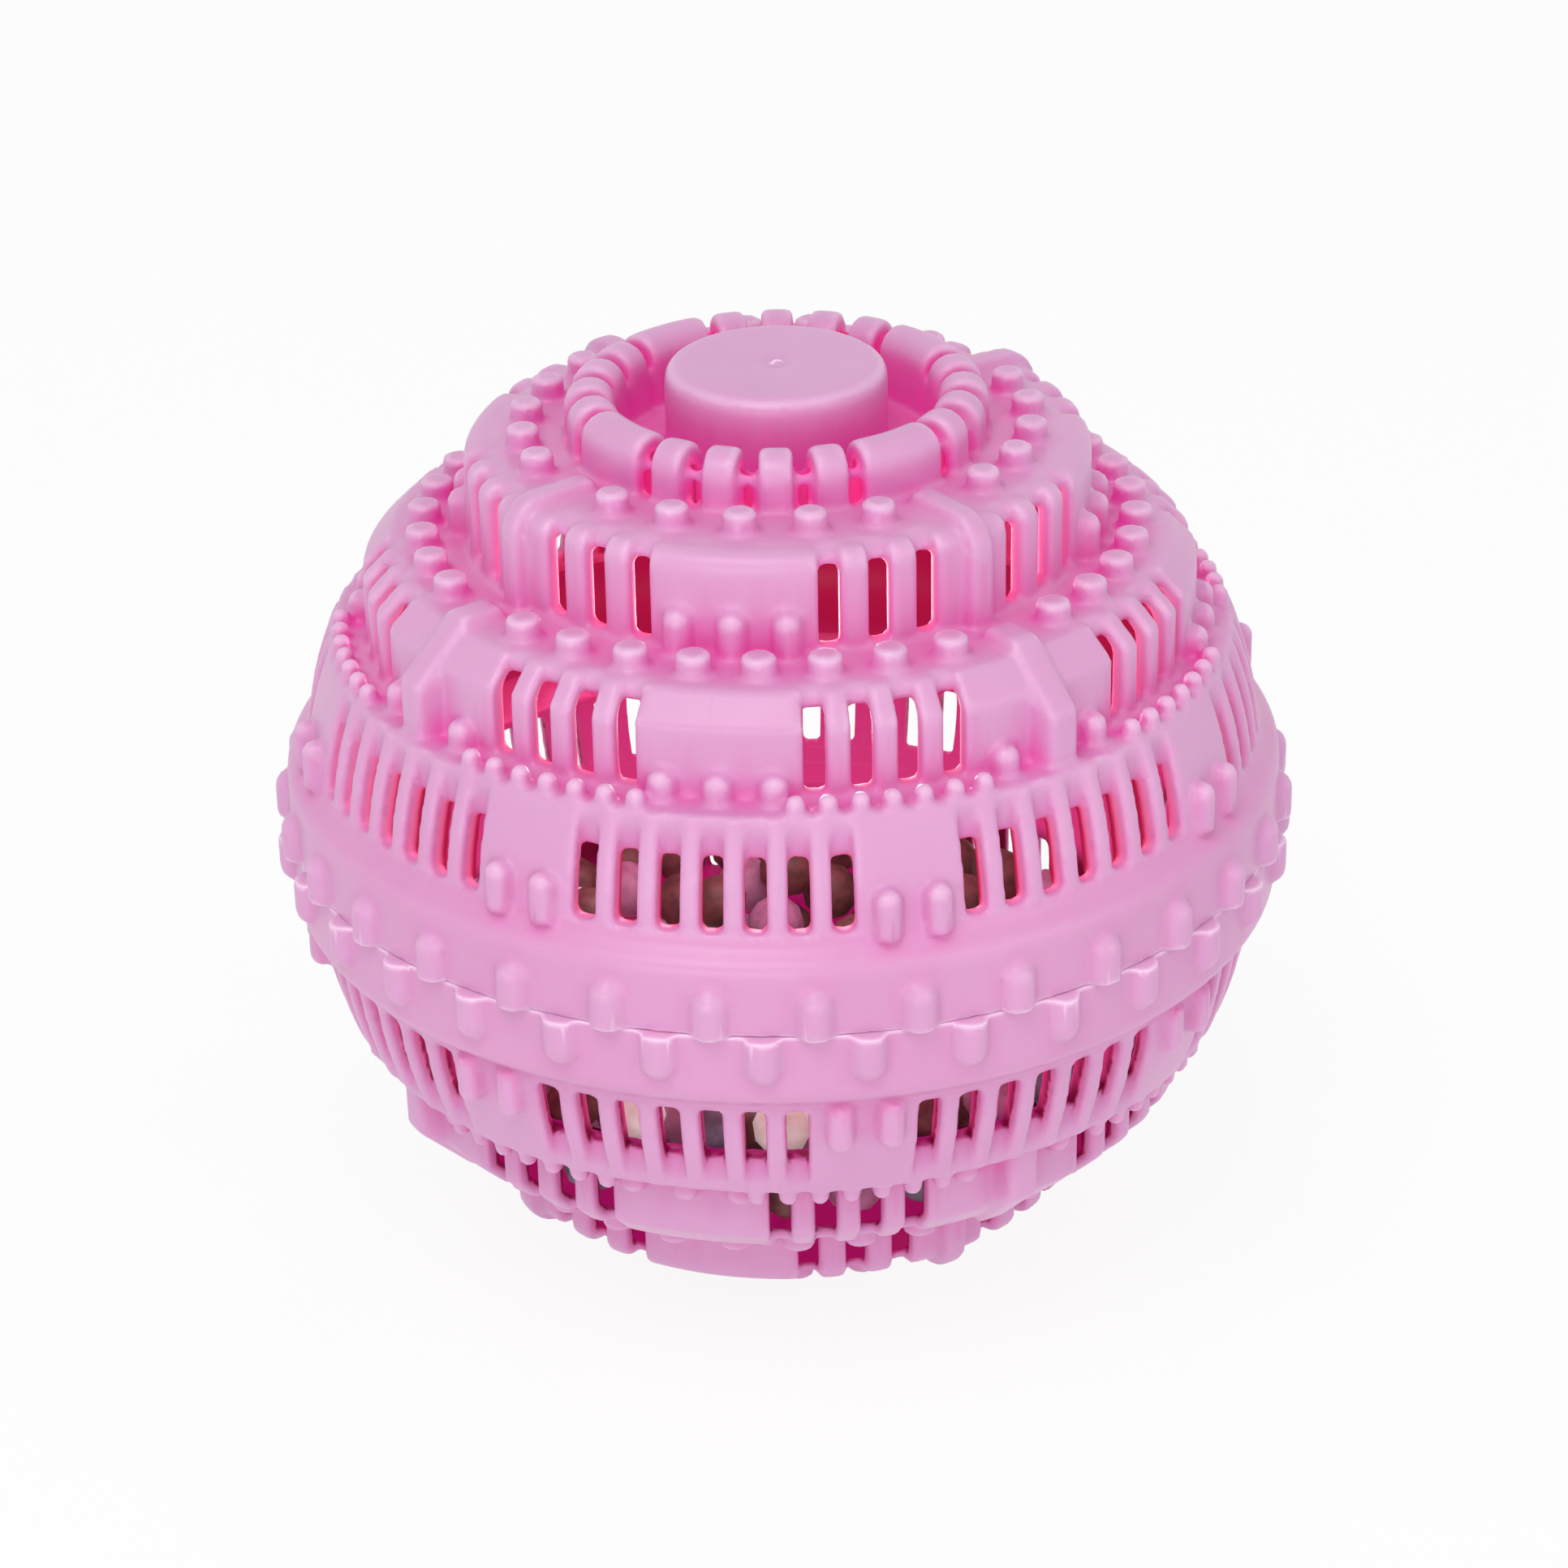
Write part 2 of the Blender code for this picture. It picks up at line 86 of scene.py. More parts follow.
def draw(outline):
    """Draws an outline of (radius, height) from one vertex, and fills it."""
    bpy.ops.object.select_all(action="DESELECT")
    bpy.ops.mesh.primitive_plane_add(size=MM, location=(0, 0, 0))
    bpy.ops.object.mode_set(mode="EDIT")
    bpy.ops.mesh.merge(type="CENTER")
    bpy.ops.transform.translate(value=(outline[0][0] * MM, 0, outline[0][1] * MM))
    for (r0, h0), (r1, h1) in zip(outline, outline[1:]):
        bpy.ops.mesh.extrude_region_move(
            TRANSFORM_OT_translate={"value": ((r1 - r0) * MM, 0, (h1 - h0) * MM)})
    bpy.ops.mesh.select_all(action="SELECT")
    bpy.ops.mesh.edge_face_add()


def close_solid():
    """Closes a solid in edit mode and hands its object over."""
    bpy.ops.mesh.select_all(action="SELECT")
    bpy.ops.mesh.remove_doubles(threshold=0.001 * MM)
    bpy.ops.mesh.normals_make_consistent(inside=False)
    bpy.ops.object.mode_set(mode="OBJECT")
    return bpy.context.object


def apply_modifier(kind, **settings):
    """Adds a modifier to the active object and applies it."""
    bpy.ops.object.modifier_add(type=kind)
    added = bpy.context.object.modifiers[-1]
    for key, value in settings.items():
        setattr(added, key, value)
    bpy.ops.object.modifier_apply(modifier=added.name)


def soften(edge):
    """Rounds the sharp edges of the active solid."""
    apply_modifier("BEVEL", width=edge * MM, segments=3, limit_method="ANGLE",
                   angle_limit=math.radians(40))


def ring(outline, steps=192):
    """Full turned ring of a closed outline."""
    draw(outline)
    bpy.ops.mesh.delete(type="ONLY_FACE")
    bpy.ops.mesh.select_all(action="SELECT")
    bpy.ops.mesh.spin(steps=steps, angle=math.tau, center=(0, 0, 0), axis=(0, 0, 1))
    return close_solid()


def sector(outline, start, end, edge):
    """Turned solid between two angles, with soft edges."""
    draw(outline)
    bpy.ops.mesh.spin(steps=max(3, round(end - start)), angle=-math.radians(end - start),
                      center=(0, 0, 0), axis=(0, 0, 1))
    made = close_solid()
    made.data.transform(Matrix.Rotation(math.radians(start), 4, "Z"))
    soften(edge)
    return made


def block(outline, width, edge):
    """Upright slab along a radius, with soft edges."""
    draw(outline)
    bpy.ops.transform.translate(value=(0, -width / 2 * MM, 0))
    bpy.ops.mesh.extrude_region_move(TRANSFORM_OT_translate={"value": (0, width * MM, 0)})
    made = close_solid()
    if edge:
        soften(edge)
    return made


def stud(radius, low, high, at, edge):
    """Round stud with a soft or domed top, at a distance from the axis."""
    bpy.ops.object.select_all(action="DESELECT")
    bpy.ops.mesh.primitive_cylinder_add(vertices=28, radius=radius * MM, depth=(high - low) * MM,
                                        location=(0, 0, 0))
    made = bpy.context.object
    bpy.ops.object.mode_set(mode="EDIT")
    bpy.ops.mesh.select_mode(type="FACE")
    bpy.ops.mesh.select_all(action="DESELECT")
    bpy.ops.object.mode_set(mode="OBJECT")
    for face in made.data.polygons:
        face.select = face.normal.z > 0.9
    bpy.ops.object.mode_set(mode="EDIT")
    bpy.ops.mesh.bevel(offset=edge * MM, segments=6, affect="EDGES")
    bpy.ops.mesh.select_mode(type="VERT")
    bpy.ops.object.mode_set(mode="OBJECT")
    made.data.transform(Matrix.Translation((at * MM, 0, (low + high) / 2 * MM)))
    return made


def copied(made, place):
    """Copy with its own mesh, placed by a matrix."""
    copy = made.copy()
    copy.data = made.data.copy()
    copy.data.transform(place)
    bpy.context.collection.objects.link(copy)
    return copy


def around(made, angles):
    """Copies turned about the axis, in place of the one that was drawn."""
    copies = [copied(made, Matrix.Rotation(math.radians(angle), 4, "Z")) for angle in angles]
    bpy.data.objects.remove(made)
    return copies


def both_ways(*angles):
    """Each angle and its mirror image."""
    return sorted({side * angle for angle in angles for side in (-1, 1)})


def join(pieces, name):
    """Joins pieces into one object."""
    bpy.ops.object.select_all(action="DESELECT")
    for piece in pieces:
        piece.select_set(True)
    bpy.context.view_layer.objects.active = pieces[0]
    bpy.ops.object.join()
    made = bpy.context.object
    made.name = name
    made.data.name = name
    return made


def quarter_circle(radius, height, round_off):
    """Points of a rounded corner, from its wall up to its ledge."""
    turns = [i / 5 * math.pi / 2 for i in range(6)]
    return [(radius - round_off * (1 - math.cos(a)), height - round_off * (1 - math.sin(a))) for a in turns]


def walled(outer, thickness):
    """Closed outline of a wall, from the line of its outside."""
    return outer + [(r - thickness, h) for r, h in reversed(outer)]


# Rings that run all the way round. The band has a soft shoulder, and its inside is wider near the seam
band = [(BAND_RADIUS, 0.01), (BAND_RADIUS, 5.9), (48.5, 6.5), (48.2, 7.0), (47.75, 7.4), (47.25, 7.75),
        (46.8, 8.15), (46.55, 8.7), (TIER_3, 9.15)]
fused = [
    ring(band + [(44.7, 9.15), (44.7, 8.4), (46.8, 4.1), (46.8, 0.01)]),
    # Ledge 3, with the rim that hangs behind the bars
    ring([(43.75, 15.6), (43.75, 19.2), (43.45, LEDGE_3), (38.2, LEDGE_3), (38.2, 17.9), (41.9, 17.9),
          (41.9, 15.6)]),
    # Ledges 2 and 1, with their edges cut back between the bars
    ring([(36.4, LEDGE_2), (37.35, 28.3), (37.5, 27.6), (37.5, 27.3), (28.0, 27.3), (28.0, LEDGE_2)]),
    ring([(26.9, LEDGE_1), (28.5, 37.7), (28.6, GROOVE_FLOOR), (18.7, GROOVE_FLOOR), (18.7, LEDGE_1)]),
    # Sills under the slots of tiers 2 and 1
    ring([(TIER_2, 18.5), (TIER_2, 19.95), (TIER_2 - WALL, 19.95), (TIER_2 - WALL, 18.5)]),
    ring([(TIER_1, 28.0), (TIER_1, 29.5), (TIER_1 - WALL, 29.5), (TIER_1 - WALL, 28.0)]),
]
# Button with the mark of the moulding gate in its middle, the groove round it, and the hollow underneath
gate = [(0, 45.74), (0.5, 45.71), (0.75, 45.4), (1.2, 45.4), (1.6, 45.6), (2.1, 45.72)]
button_side = [(9.15, 45.72), (9.85, 45.55), (10.38, 45.08), (10.6, 44.4), (10.6, 38.2), (10.75, 37.5),
               (11.25, 37.1), (12.0, GROOVE_FLOOR)]
hollow = [(16.6, GROOVE_FLOOR), (16.6, 35.4), (8.6, 35.4), (8.6, 43.8), (0, 43.8)]
fused.append(ring(gate + button_side + hollow))

# Tier 3: bars and panels of a wall that leans in and bulges a little
LEAN_IN = 2.7
BULGE_OUT = 2.0
BAR_DEPTH = 2.6
tier_3_outer = [(TIER_3 - LEAN_IN * t + BULGE_OUT * t * (1 - t), TIER_3_FOOT + (LEDGE_3 - TIER_3_FOOT) * t)
                for t in (i / 6 for i in range(7))]
quarter = around(block(walled(tier_3_outer, BAR_DEPTH), width=1.86, edge=0.45),
                 [turn + a for turn in (0, 45) for a in both_ways(2.475, 7.425, 12.375)])
quarter += around(sector(walled(tier_3_outer, WALL), start=16.15, end=28.85, edge=0.35), (0, 45))


def tier_outline(radius, foot, corner):
    """Wall of an upper tier, with the points of its corner, and in to the ledge, where it sinks."""
    inner, ledge = corner[-1]
    return ([(radius, foot)] + corner
            + [(inner - 0.8, ledge), (inner - 1.4, ledge - 0.5), (inner - 0.4, ledge - 1.6),
               (radius - WALL, ledge - (radius - inner) - 0.4), (radius - WALL, foot)])


# Tiers 2 and 1: bars and panels that stand proud over their corners, which are cut at a slant on tier 2 and
# round on tier 1
slanted = [(TIER_2, 26.4), (37.5, LEDGE_2)]
tier_2 = tier_outline(TIER_2, foot=19.0, corner=slanted)
quarter += around(block(tier_2, width=2.28, edge=0.6), both_ways(15.525, 21.775, 28.025))
quarter.append(sector(tier_2, start=-10.94, end=10.94, edge=0.35))
quarter.append(sector(tier_2, start=32.6, end=57.4, edge=0.35))
rounded = quarter_circle(TIER_1, LEDGE_1, round_off=1.7)
tier_1 = tier_outline(TIER_1, foot=28.4, corner=rounded)
quarter += around(block(tier_1, width=2.66, edge=0.7), both_ways(21.55, 30.65))
quarter.append(sector(tier_1, start=-15.07, end=15.07, edge=0.4))
quarter.append(sector(tier_1, start=37.1, end=52.9, edge=0.4))

# Crown: four small arches and a long round one in each quarter, hollow underneath. In the gaps a thin web
# bridges a window, and a lower wall closes the side of the groove behind it
CROWN_RADIUS = 17.7
CROWN_REACH = 21
ARCH_HEIGHT = 41.5
ARCH_RADIUS = 2.5
arch_top = [(CROWN_RADIUS + ARCH_RADIUS * math.cos(a), ARCH_HEIGHT + ARCH_RADIUS * math.sin(a))
            for a in (i / 10 * math.pi for i in range(11))]
arch = [(20.2, 37.6)] + arch_top + [(15.2, 36.2), (16.6, 36.2), (16.6, 40.7), (17.2, 41.4), (18.2, 41.4),
                                    (18.8, 40.7), (18.8, 37.6)]
web = [(19.15, 40.9), (19.1, 41.5), (18.8, 41.8), (18.4, 41.8), (18.1, 41.4), (18.2, 40.9)]
window_side = [(17.4, 36.6), (19.0, 36.6), (19.0, 41.2), (18.6, 41.8), (17.8, 41.6), (17.4, 41.0)]
groove_wall = [(15.6, 36.2), (15.6, 40.7), (15.9, 41.1), (16.4, 41.1), (16.8, 40.7), (16.8, 36.2)]
gaps = both_ways(0.0, 15.45, 30.0)
window_sides = [gap + side for gap in both_ways(0.0, 15.45) for side in (-2.5, 2.5)]
quarter += around(block(arch, width=3.15, edge=0.6), both_ways(7.8, 23.1))
quarter.append(sector(arch, start=32.1, end=57.9, edge=0.6))
quarter += around(block(web, width=2.6, edge=0.2), gaps)
quarter += around(block(window_side, width=0.7, edge=0.2), window_sides)
quarter += around(block(groove_wall, width=2.9, edge=0.3), gaps)


# How far a rib stands over its ledge, how deep it is sunk in, and how far its sunk corner is cut off
RIB_HEIGHT = 1.2
RIB_SUNK = 0.8
RIB_CUT = 3.2


def rib(start, radius, foot, corner, width, top_width):
    """Rib that runs out over a ledge, over its corner and down the wall, narrower at its top."""
    top = corner[-1][1]
    ledge = top - RIB_HEIGHT
    sunk = [(start, ledge - RIB_SUNK), (radius - RIB_CUT, ledge - RIB_SUNK),
            (radius - RIB_SUNK, ledge - RIB_CUT), (radius - RIB_SUNK, foot)]
    made = block([(corner[0][0], foot)] + corner + [(start, top)] + sunk, width, edge=0)
    bpy.ops.object.mode_set(mode="EDIT")
    bpy.ops.mesh.select_all(action="DESELECT")
    bpy.ops.object.mode_set(mode="OBJECT")
    for vertex in made.data.vertices:
        vertex.select = vertex.co.x > (radius + 0.1) * MM or vertex.co.z > (ledge + 0.1) * MM
    bpy.ops.object.mode_set(mode="EDIT")
    bpy.ops.transform.resize(value=(1, top_width / width, 1), center_override=(0, 0, 0))
    bpy.ops.object.mode_set(mode="OBJECT")
    soften(0.5)
    return made


# Ribs: a soft one over ledge 1, and a slanting one over ledge 2 that stands well out of its wall
rounded_rib = rib(start=21.7, radius=TIER_1, foot=28.6, width=3.4, top_width=2.5,
                  corner=quarter_circle(radius=31.2, height=39.8, round_off=3.6))
slanted_rib = rib(start=32.7, radius=TIER_2, foot=19.1, width=4.4, top_width=3.2,
                  corner=[(42.7, 24.7), (37.0, 30.2)])
quarter += around(rounded_rib, (45,))
quarter += around(slanted_rib, (45,))
# Pegs on ledges 1 and 2
quarter += around(stud(radius=1.6, low=38.0, high=40.8, at=24.2, edge=0.5), both_ways(0.0, 15.2, 30.4))
quarter += around(stud(radius=1.65, low=28.4, high=31.1, at=34.2, edge=0.5),
                  both_ways(5.0, 14.95, 24.9, 34.85))
# Bosses on the walls of tiers 1, 2 and 3
quarter += around(stud(radius=1.4, low=28.6, high=33.5, at=30.3, edge=1.3), both_ways(0.0, 9.5))
quarter += around(stud(radius=1.4, low=19.1, high=22.4, at=40.6, edge=1.3), both_ways(0.0, 7.2, 37.7))
quarter += around(stud(radius=1.35, low=8.4, high=13.3, at=TIER_3, edge=1.3), both_ways(19.6, 25.4))
# Nubs along ledge 3, and bumps on the band
nub_angles = both_ways(*(9.7 + 3.92 * i for i in range(7)))
quarter += around(stud(radius=0.95, low=19.0, high=21.2, at=42.6, edge=0.9), nub_angles)
quarter += around(stud(radius=1.75, low=0.01, high=4.8, at=48.25, edge=1.7),
                  [BUMP_PITCH * i for i in range(8)])
fused += around(join(quarter, "quarter"), QUARTERS)

# The moulding's outer skin as one line, from the pole to the seam, and back to the axis
SKIN = np.array([(0, SEAM_HEIGHT), *button_side, (15.2, GROOVE_FLOOR), *reversed(arch_top), (20.2, LEDGE_1),
                 *reversed(rounded), (TIER_1, LEDGE_2), *reversed(slanted), (TIER_2, LEDGE_3),
                 *reversed(tier_3_outer), *reversed(band), (BAND_RADIUS, 0), (0, 0)])


def depth_in_plastic(places):
    """How far each place, in the half's own frame, lies under the outer skin."""
    radii = np.hypot(places[:, 0], places[:, 1])
    heights = places[:, 2]
    nearest = np.full(len(places), 1e9)
    inside = np.zeros(len(places), bool)
    for i in range(len(SKIN) - 1):
        (r0, h0), (r1, h1) = SKIN[i], SKIN[i + 1]
        # The last stretch only closes the line
        if i < len(SKIN) - 2:
            square = (r1 - r0) ** 2 + (h1 - h0) ** 2 + 1e-9
            along = ((radii - r0) * (r1 - r0) + (heights - h0) * (h1 - h0)) / square
            along = np.clip(along, 0, 1)
            away = np.hypot(radii - r0 - along * (r1 - r0), heights - h0 - along * (h1 - h0))
            nearest = np.minimum(nearest, away)
        if h0 != h1:
            crosses = (h0 > heights) != (h1 > heights)
            inside ^= crosses & (radii < r0 + (heights - h0) / (h1 - h0) * (r1 - r0))
    return np.where(inside, nearest, -nearest)


def read_vectors(items, field):
    """Vectors of one field of a mesh's items."""
    vectors = np.empty(3 * len(items))
    items.foreach_get(field, vectors)
    return vectors.reshape(-1, 3)


def vertex_places(mesh):
    """Places of a mesh's vertices."""
    return read_vectors(mesh.vertices, "co") / MM


def zone(places, inner, outer, low):
    """Which places lie between two radii and over a height."""
    radii = np.hypot(places[:, 0], places[:, 1])
    return (radii > inner) & (radii < outer) & (places[:, 2] > low)


def add_group(mesh_object, name, chosen, weight):
    """Adds a vertex group of the chosen vertices."""
    group = mesh_object.vertex_groups.new(name=name)
    group.add([int(i) for i in np.flatnonzero(chosen)], weight, "ADD")


def thin_out(mesh_object, chosen, weight, count):
    """Thins the mesh out to a count of triangles, at the chosen vertices only."""
    add_group(mesh_object, "thinned", chosen, weight)
    mesh_object.data.calc_loop_triangles()
    apply_modifier("DECIMATE", ratio=count / len(mesh_object.data.loop_triangles), vertex_group="thinned",
                   vertex_group_factor=1.0, use_collapse_triangulate=True)
    mesh_object.vertex_groups.clear()


# The forms are fused, and their edges run soft, least so at the seam and the gate mark
half = join(fused, "half_shell")
half.data.materials.clear()
apply_modifier("REMESH", mode="VOXEL", voxel_size=0.3 * MM)
places = vertex_places(half.data)
gate_or_seam = (places[:, 2] <= 0.2) | ((np.hypot(*places[:, :2].T) <= 2.3) & (places[:, 2] >= 45))
for name, chosen, rounds in (
        ("all_but_gate_and_seam", ~gate_or_seam, 5),
        ("crown", zone(places, inner=14.6, outer=CROWN_REACH, low=39.2), 7),
        ("button", zone(places, inner=2.6, outer=11, low=37.6), 25)):
    add_group(half, name, chosen, 1.0)
    apply_modifier("SMOOTH", factor=0.5, iterations=rounds, vertex_group=name)
depth = depth_in_plastic(vertex_places(half.data))
half.data.shade_smooth()
fine_half = copied(half, Matrix.Identity(4))
# The inside is thinned out first and most, and then the skin, evenly. The normals of the fine mesh stay
SKIN_DEPTH = 1.4
INSIDE_TRIANGLES = 20000
HALF_TRIANGLES = 190000
half.data.calc_loop_triangles()
corners = np.empty(3 * len(half.data.loop_triangles), int)
half.data.loop_triangles.foreach_get("vertices", corners)
corners = corners.reshape(-1, 3)
inner = (depth > SKIN_DEPTH)[corners].all(axis=1).sum()
thin_out(half, depth > SKIN_DEPTH, 1.0, len(corners) - inner + INSIDE_TRIANGLES)
thin_out(half, depth_in_plastic(vertex_places(half.data)) <= SKIN_DEPTH, 0.22, HALF_TRIANGLES)
half.data.shade_smooth()
apply_modifier("DATA_TRANSFER", object=fine_half, use_loop_data=True, data_types_loops={"CUSTOM_NORMAL"},
               loop_mapping="POLYINTERP_NEAREST")
bpy.data.objects.remove(fine_half)


def edge_ends(mesh):
    """First and second vertex of each edge."""
    ends = np.empty(2 * len(mesh.edges), int)
    mesh.edges.foreach_get("vertices", ends)
    return ends.reshape(-1, 2).T


def evened_out(values, mesh):
    """Values of the vertices, evened out over their neighbours in three rounds."""
    count = len(values)
    first, second = edge_ends(mesh)
    neighbours = np.bincount(first, minlength=count) + np.bincount(second, minlength=count)
    for _ in range(3):
        total = np.bincount(first, values[second], count) + np.bincount(second, values[first], count)
        values = 0.5 * values + 0.5 * total / np.maximum(neighbours, 1)
    return values


# Angle in radians from one ray to the next, which spreads them evenly
GOLDEN_ANGLE = 2.39996


def openness(mesh, wanted, reach, rays=16):
    """Share of the space over each wanted vertex that the moulding leaves open, out to a reach."""
    # These places stay in metres
    places = read_vectors(mesh.vertices, "co")
    normals = read_vectors(mesh.vertex_normals, "vector")
    aside = np.cross(np.where(np.abs(normals[:, 2:]) < 0.9, (0.0, 0.0, 1.0), (1.0, 0.0, 0.0)), normals)
    aside /= np.linalg.norm(aside, axis=1, keepdims=True)
    across = np.cross(normals, aside)
    tree = BVHTree.FromPolygons(places.tolist(), [tuple(face.vertices) for face in mesh.polygons])
    starts = (places + 0.05 * MM * normals).tolist()
    blocked = np.zeros(len(places))
    for ray in range(rays):
        lean = math.sqrt((ray + 0.5) / rays)
        turn = ray * GOLDEN_ANGLE
        ways = (lean * math.cos(turn) * aside + lean * math.sin(turn) * across
                + math.sqrt(1 - lean * lean) * normals).tolist()
        for i in wanted:
            if tree.ray_cast(starts[i], ways[i], reach * MM)[0] is not None:
                blocked[i] += 1
    share = np.zeros(len(places))
    share[wanted] = 1 - blocked[wanted] / rays
    return evened_out(share, mesh)


def bulge(mesh):
    """How strongly the surface bulges out at each vertex, per millimetre."""
    places = vertex_places(mesh)
    normals = read_vectors(mesh.vertex_normals, "vector")
    count = len(places)
    first, second = edge_ends(mesh)
    apart = places[second] - places[first]
    squares = (apart ** 2).sum(axis=1)
    rise = np.bincount(second, (apart * normals[second]).sum(axis=1), count)
    rise -= np.bincount(first, (apart * normals[first]).sum(axis=1), count)
    spread = np.bincount(first, squares, count) + np.bincount(second, squares, count) + 1e-9
    return evened_out(2 * rise / spread, mesh)


def step_up(values, low, high):
    """Smooth step from 0 at one value to 1 at another."""
    t = np.clip((values - low) / (high - low), 0, 1)
    return t * t * (3 - 2 * t)


# Share of each vertex in the looks of the plastic. What faces outward is skin, also where it lies back
# between the bars, and the rest of what lies deep is the inside. How open each vertex lies paints shade into
# the corners of the skin, how far it bulges paints highlights on its edges, and how deep it lies paints light
# and shade within and a glow. The plain band is given painted shade, darker than its bumps
DEEP = 2.4
BAND_SHADE = 0.82
places = vertex_places(half.data)
depth = depth_in_plastic(places)
normals = read_vectors(half.data.vertex_normals, "vector")
radius = np.hypot(*places[:, :2].T)
height = places[:, 2]
outward = (normals[:, :2] * places[:, :2]).sum(axis=1) / radius.clip(0.1)
faces_out = step_up(outward, 0.3, 0.7) * (1 - step_up(depth, 1.9, DEEP))
in_crown = (radius < CROWN_REACH) & (height > 39)
on_band = (height < 9) & (depth < 0.4) & (radius < BAND_RADIUS + 0.3)
near_skin = np.flatnonzero(depth < DEEP)
wide_open = openness(half.data, near_skin, reach=14)
close_open = openness(half.data, near_skin, reach=1.8)
shares = {
    "depth": depth,
    "within": np.where(in_crown, step_up(depth, 1.5, 1.9), step_up(depth, 0.75, 1.05)) * (1 - faces_out),
    "glow": step_up(depth, 1.1, 1.6) * (1 - faces_out * (1 - step_up(depth, 1.2, 1.6))),
    "open": wide_open * (0.2 + 0.8 * close_open) * np.where(on_band, BAND_SHADE, 1.0),
    "edge": step_up(bulge(half.data), 0.15, 0.8),
}
for name, values in shares.items():
    half.data.attributes.new(name, "FLOAT", "POINT").data.foreach_set("value", values)


def new_material(name):
    """Material, with its node tree and its shader."""
    made = bpy.data.materials.new(name)
    made.use_nodes = True
    return made, made.node_tree, made.node_tree.nodes["Principled BSDF"]


def place_on_piece(tree):
    """Place of each point on its piece, in metres."""
    return tree.nodes.new("ShaderNodeTexCoord").outputs["Object"]


def read_attribute(tree, name):
    """Value of an attribute of the mesh."""
    made = tree.nodes.new("ShaderNodeAttribute")
    made.attribute_name = name
    return made.outputs["Fac"]


def ramp_of(tree, source, stops):
    """Colour ramp on a source between 0 and 1, from (position, colour) pairs."""
    made = tree.nodes.new("ShaderNodeValToRGB")
    elements = made.color_ramp.elements
    while len(elements) < len(stops):
        elements.new(0.5)
    for element, (position, colour) in zip(elements, stops):
        element.position = position
        element.color = (*colour, 1)
    tree.links.new(source, made.inputs["Fac"])
    return made.outputs["Color"]


def noise(tree, scale, detail):
    """Soft noise over the places on the piece."""
    made = tree.nodes.new("ShaderNodeTexNoise")
    made.inputs["Scale"].default_value = scale
    made.inputs["Detail"].default_value = detail
    tree.links.new(place_on_piece(tree), made.inputs["Vector"])
    return made.outputs["Fac"]


def scaled(tree, source, low, high):
    """Value between low and high, brought softly to between 0 and 1."""
    made = tree.nodes.new("ShaderNodeMapRange")
    made.interpolation_type = "SMOOTHSTEP"
    made.inputs["From Min"].default_value = low
    made.inputs["From Max"].default_value = high
    tree.links.new(source, made.inputs["Value"])
    return made.outputs["Result"]


def spread_out(tree, source, low, high, start=0.0, end=1.0):
    """Value between start and end, brought evenly to between low and high."""
    made = tree.nodes.new("ShaderNodeMapRange")
    made.inputs["From Min"].default_value = start
    made.inputs["From Max"].default_value = end
    made.inputs["To Min"].default_value = low
    made.inputs["To Max"].default_value = high
    tree.links.new(source, made.inputs["Value"])
    return made.outputs["Result"]


def mixed(tree, share, first, second, kind="MIX"):
    """Two colours mixed by a share."""
    made = tree.nodes.new("ShaderNodeMix")
    made.data_type = "RGBA"
    made.blend_type = kind
    # The node has sockets for values and places besides, so the ones for colours go by number
    for socket, source in ((0, share), (6, first), (7, second)):
        if isinstance(source, (float, tuple)):
            made.inputs[socket].default_value = source
        else:
            tree.links.new(source, made.inputs[socket])
    return made.outputs[2]


def dented(tree, source, strength):
    """Normal of a surface with dents of up to a twentieth of a millimetre."""
    made = tree.nodes.new("ShaderNodeBump")
    made.inputs["Strength"].default_value = strength
    made.inputs["Distance"].default_value = 0.05 * MM
    tree.links.new(source, made.inputs["Height"])
    return made.outputs["Normal"]


# Soft pink plastic that lets light through, with its light and shade painted into its colour: pale where it
# lies open, with painted highlights on its raised edges, hot pink as painted shade in its corners and as
# painted light at the rims of its slots, and painted crimson within, which stands in for the light come
# through the walls
plastic, tree, shader = new_material("pink_plastic")
depth_read = read_attribute(tree, "depth")
open_read = read_attribute(tree, "open")
painted_highlight_read = read_attribute(tree, "edge")
cloud = noise(tree, scale=60.0, detail=3.0)
# Painted shade: the skin turns darker and hot pink the less open it lies
skin_with_painted_light = ramp_of(tree, open_read, [
    (0.06, (0.61, 0.04, 0.26)), (0.18, (0.75, 0.12, 0.43)), (0.45, (0.77, 0.25, 0.55)),
    (0.90, (0.76, 0.385, 0.655))])
# Painted highlight: raised edges, the seam, the rim of the button and the gate mark are painted pale
skin_with_painted_light = mixed(tree, scaled(tree, painted_highlight_read, 0.0, 1.7), skin_with_painted_light, (0.94, 0.66, 0.86, 1))
clouded = mixed(tree, 1.0, skin_with_painted_light, (0.96, 0.90, 0.94, 1), "MULTIPLY")
skin_with_painted_light = mixed(tree, scaled(tree, cloud, 0.3, 0.9), skin_with_painted_light, clouded)
# Painted light and shade within: hot pink at the rims, crimson deeper in, near black deepest
within = ramp_of(tree, scaled(tree, depth_read, 0.0, 4.0), [
    (0.18, (0.92, 0.30, 0.56)), (0.30, (0.84, 0.20, 0.44)), (0.42, (0.42, 0.03, 0.10)),
    (0.58, (0.20, 0.004, 0.03))])
colour = mixed(tree, read_attribute(tree, "within"), skin_with_painted_light, within)
tree.links.new(colour, shader.inputs["Base Color"])
# Deep inside it hardly shines
shine = spread_out(tree, depth_read, 0.5, 0.04, start=0.3, end=1.2)
tree.links.new(shine, shader.inputs["Specular IOR Level"])
shader.inputs["Subsurface Weight"].default_value = 0.35
shader.inputs["Subsurface Radius"].default_value = (1.0, 0.22, 0.5)
shader.inputs["Subsurface Scale"].default_value = 1.4 * MM
